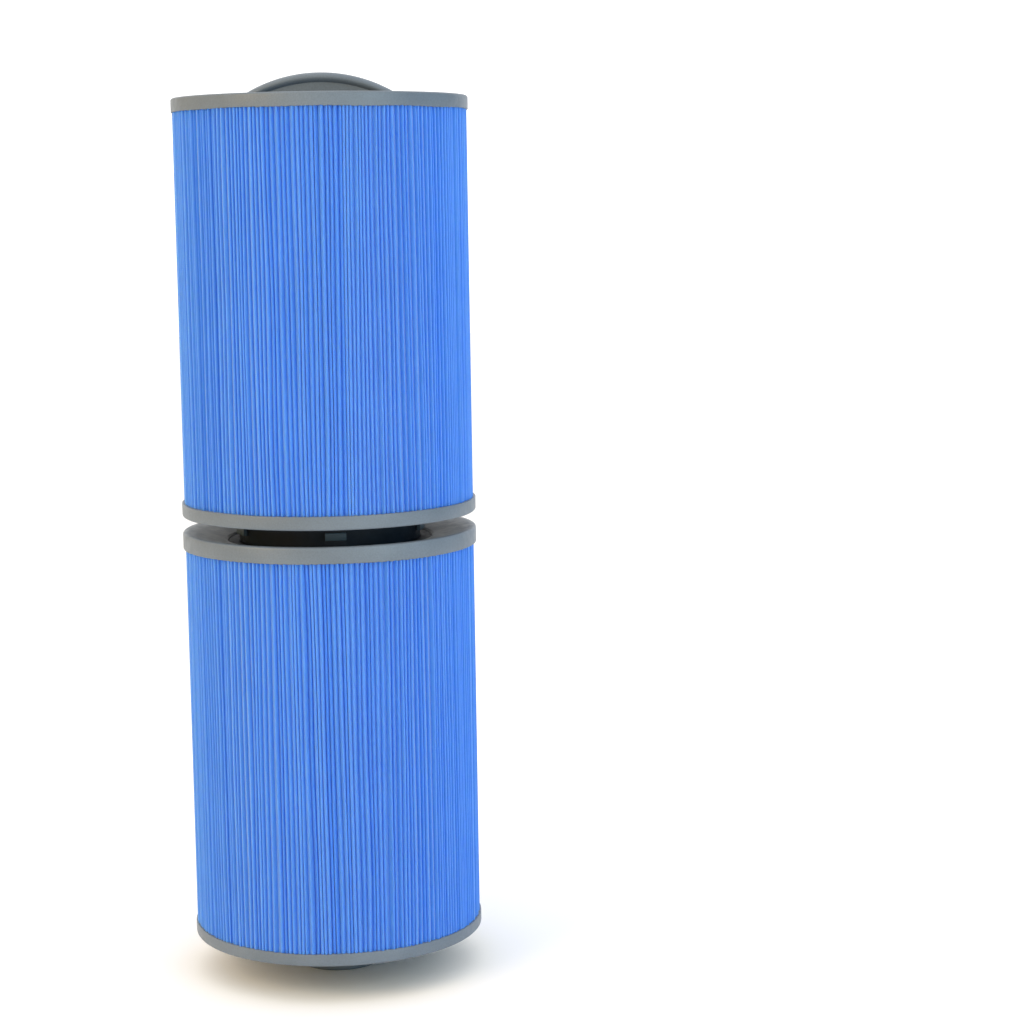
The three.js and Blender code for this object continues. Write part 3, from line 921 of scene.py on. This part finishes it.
def core(node, rows=14, columns=24):
    """Tube with rows of square windows with stepped corners, made as a net given a wall."""
    bottom, top = low(node), high(node)
    cell = (top - bottom) / rows
    edges = [0.0, 0.2, 0.3, 0.7, 0.8]  # where a cell's lines fall, as shares of the cell
    heights = [bottom + (row + edge) * cell for row in range(rows) for edge in edges] + [top]
    pitch = 2 * math.pi / columns
    turns = [(column + edge) * pitch for column in range(columns) for edge in edges]
    radius = CORE_RADIUS - 0.1 * MM
    points = [(radius * math.cos(t), radius * math.sin(t), z) for z in heights for t in turns]
    faces = []
    around = len(turns)
    for row in range(len(heights) - 1):
        for column in range(around):
            r, c = row % 5, column % 5
            if r in (1, 2, 3) and c in (1, 2, 3) and (r == 2 or c == 2):
                continue
            after = (column + 1) % around
            a, b = row * around + column, row * around + after
            faces.append((a, b, b + around, a + around))
    piece = make_object(node + "_tube", points, faces, 40)
    wall = piece.modifiers.new("wall", "SOLIDIFY")
    wall.thickness = 3 * MM
    wall.offset = -1
    apply_modifiers(piece)
    clean(piece)
    piece.data.shade_smooth()
    piece.data.set_sharp_from_angle(angle=math.radians(40))
    return piece


# ------------------------------------------------------------------ assembly


def show(piece, material, body, node):
    piece.data.materials.clear()
    piece.data.materials.append(material)
    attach(piece, body)
    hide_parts(node)


def add_media(node, body, material, seed):
    piece, width, length = pleated_media(node, seed)
    show(piece, material, body, node)


def build():
    caps, media, dark = cap_finish(), media_finish(), coupling_finish()
    pale, rubber, moulded = core_finish(), rubber_finish(), moulded_finish()
    sockets = socket_finish()
    lower, joined, upper = "lower_cartridge", "coupling", "upper_cartridge"
    show(threaded_neck(), moulded, lower, "threaded_neck")
    show(neck_cap(), caps, lower, "neck_cap")
    show(lower_inner_cap(), caps, lower, "lower_inner_cap")
    show(lock_socket(), sockets, lower, "lock_socket")
    show(core("lower_core"), pale, lower, "lower_core")
    add_media("lower_pleated_media", lower, media, 5)
    show(coupling_ring(), dark, joined, "coupling_ring")
    show(seal("lower_seal"), rubber, joined, "lower_seal")
    show(seal("upper_seal"), rubber, joined, "upper_seal")
    show(upper_inner_cap(), caps, upper, "upper_inner_cap")
    show(key_socket(), sockets, upper, "key_socket")
    show(core("upper_core"), pale, upper, "upper_core")
    add_media("upper_pleated_media", upper, media, 8)
    show(handle_cap(), caps, upper, "handle_cap")
    show(grip_handle(), caps, upper, "grip_handle")


build()

# ------------------------------------------------------------------ stage and light


def add_floor():
    size = 6.0
    corners = [(-size, -size, 0), (size, -size, 0), (size, size, 0), (-size, size, 0)]
    floor = make_object("floor", corners, [(0, 1, 2, 3)])
    floor.data.materials.append(floor_finish())
    floor.location.z = -0.05 * MM


def add_softbox(name, place, size, watts, colour):
    data = bpy.data.lights.new(name, "AREA")
    data.shape = "RECTANGLE"
    data.size, data.size_y = size
    data.energy = watts
    data.color = colour
    light = bpy.data.objects.new(name, data)
    bpy.context.scene.collection.objects.link(light)
    light.location = place
    aim = Vector((0, 0, CAMERA_LEVEL)) - Vector(place)
    light.rotation_euler = aim.to_track_quat("-Z", "Y").to_euler()


BACKDROP = 1.35
CEILING = (1, 1, 1)
LEFT_WALL = (0.62, 0.4, 0.14)
RIGHT_WALL = (0.1, 0.22, 0.3)


def add_world():
    """White backdrop and ceiling, dimmer walls at the sides: warm on the left, cool on the right."""
    world = bpy.data.worlds.new("studio")
    bpy.context.scene.world = world
    world.use_nodes = True
    nodes, links = world.node_tree.nodes, world.node_tree.links
    background = nodes["Background"]
    background.inputs["Strength"].default_value = BACKDROP
    split = nodes.new("ShaderNodeSeparateXYZ")
    links.new(nodes.new("ShaderNodeTexCoord").outputs["Generated"], split.inputs["Vector"])

    def share(axis, start, end):
        node = nodes.new("ShaderNodeMapRange")
        node.inputs["From Min"].default_value = start
        node.inputs["From Max"].default_value = end
        links.new(split.outputs[axis], node.inputs["Value"])
        return node.outputs["Result"]

    def blend(factor, first, second):
        node = nodes.new("ShaderNodeMix")
        node.data_type = "RGBA"
        links.new(factor, node.inputs["Factor"])
        for socket, value in ((node.inputs["A"], first), (node.inputs["B"], second)):
            if isinstance(value, tuple):
                socket.default_value = (*value, 1)
            else:
                links.new(value, socket)
        return node.outputs["Result"]

    walls = blend(share("X", -1, 1), LEFT_WALL, RIGHT_WALL)
    walls = blend(share("Z", 0.3, 0.6), walls, CEILING)
    walls = blend(share("Y", 0.5, 0.88), walls, CEILING)
    links.new(walls, background.inputs["Color"])


def add_lights():
    """Three softboxes: a warm one on the left, cooler ones in front and on the right."""
    add_softbox("key_left", (-1.5, -1.3, 1.1), (1.2, 1.4), 24, (1.0, 0.7, 0.3))
    add_softbox("front", (0.3, -2.2, 0.9), (1.4, 1.2), 4, (0.72, 0.9, 1.0))
    add_softbox("right", (1.4, -1.4, 0.7), (0.9, 1.2), 10, (0.8, 1.0, 1.0))
    bpy.context.scene.view_settings.view_transform = "Standard"


add_floor()
add_world()
add_lights()
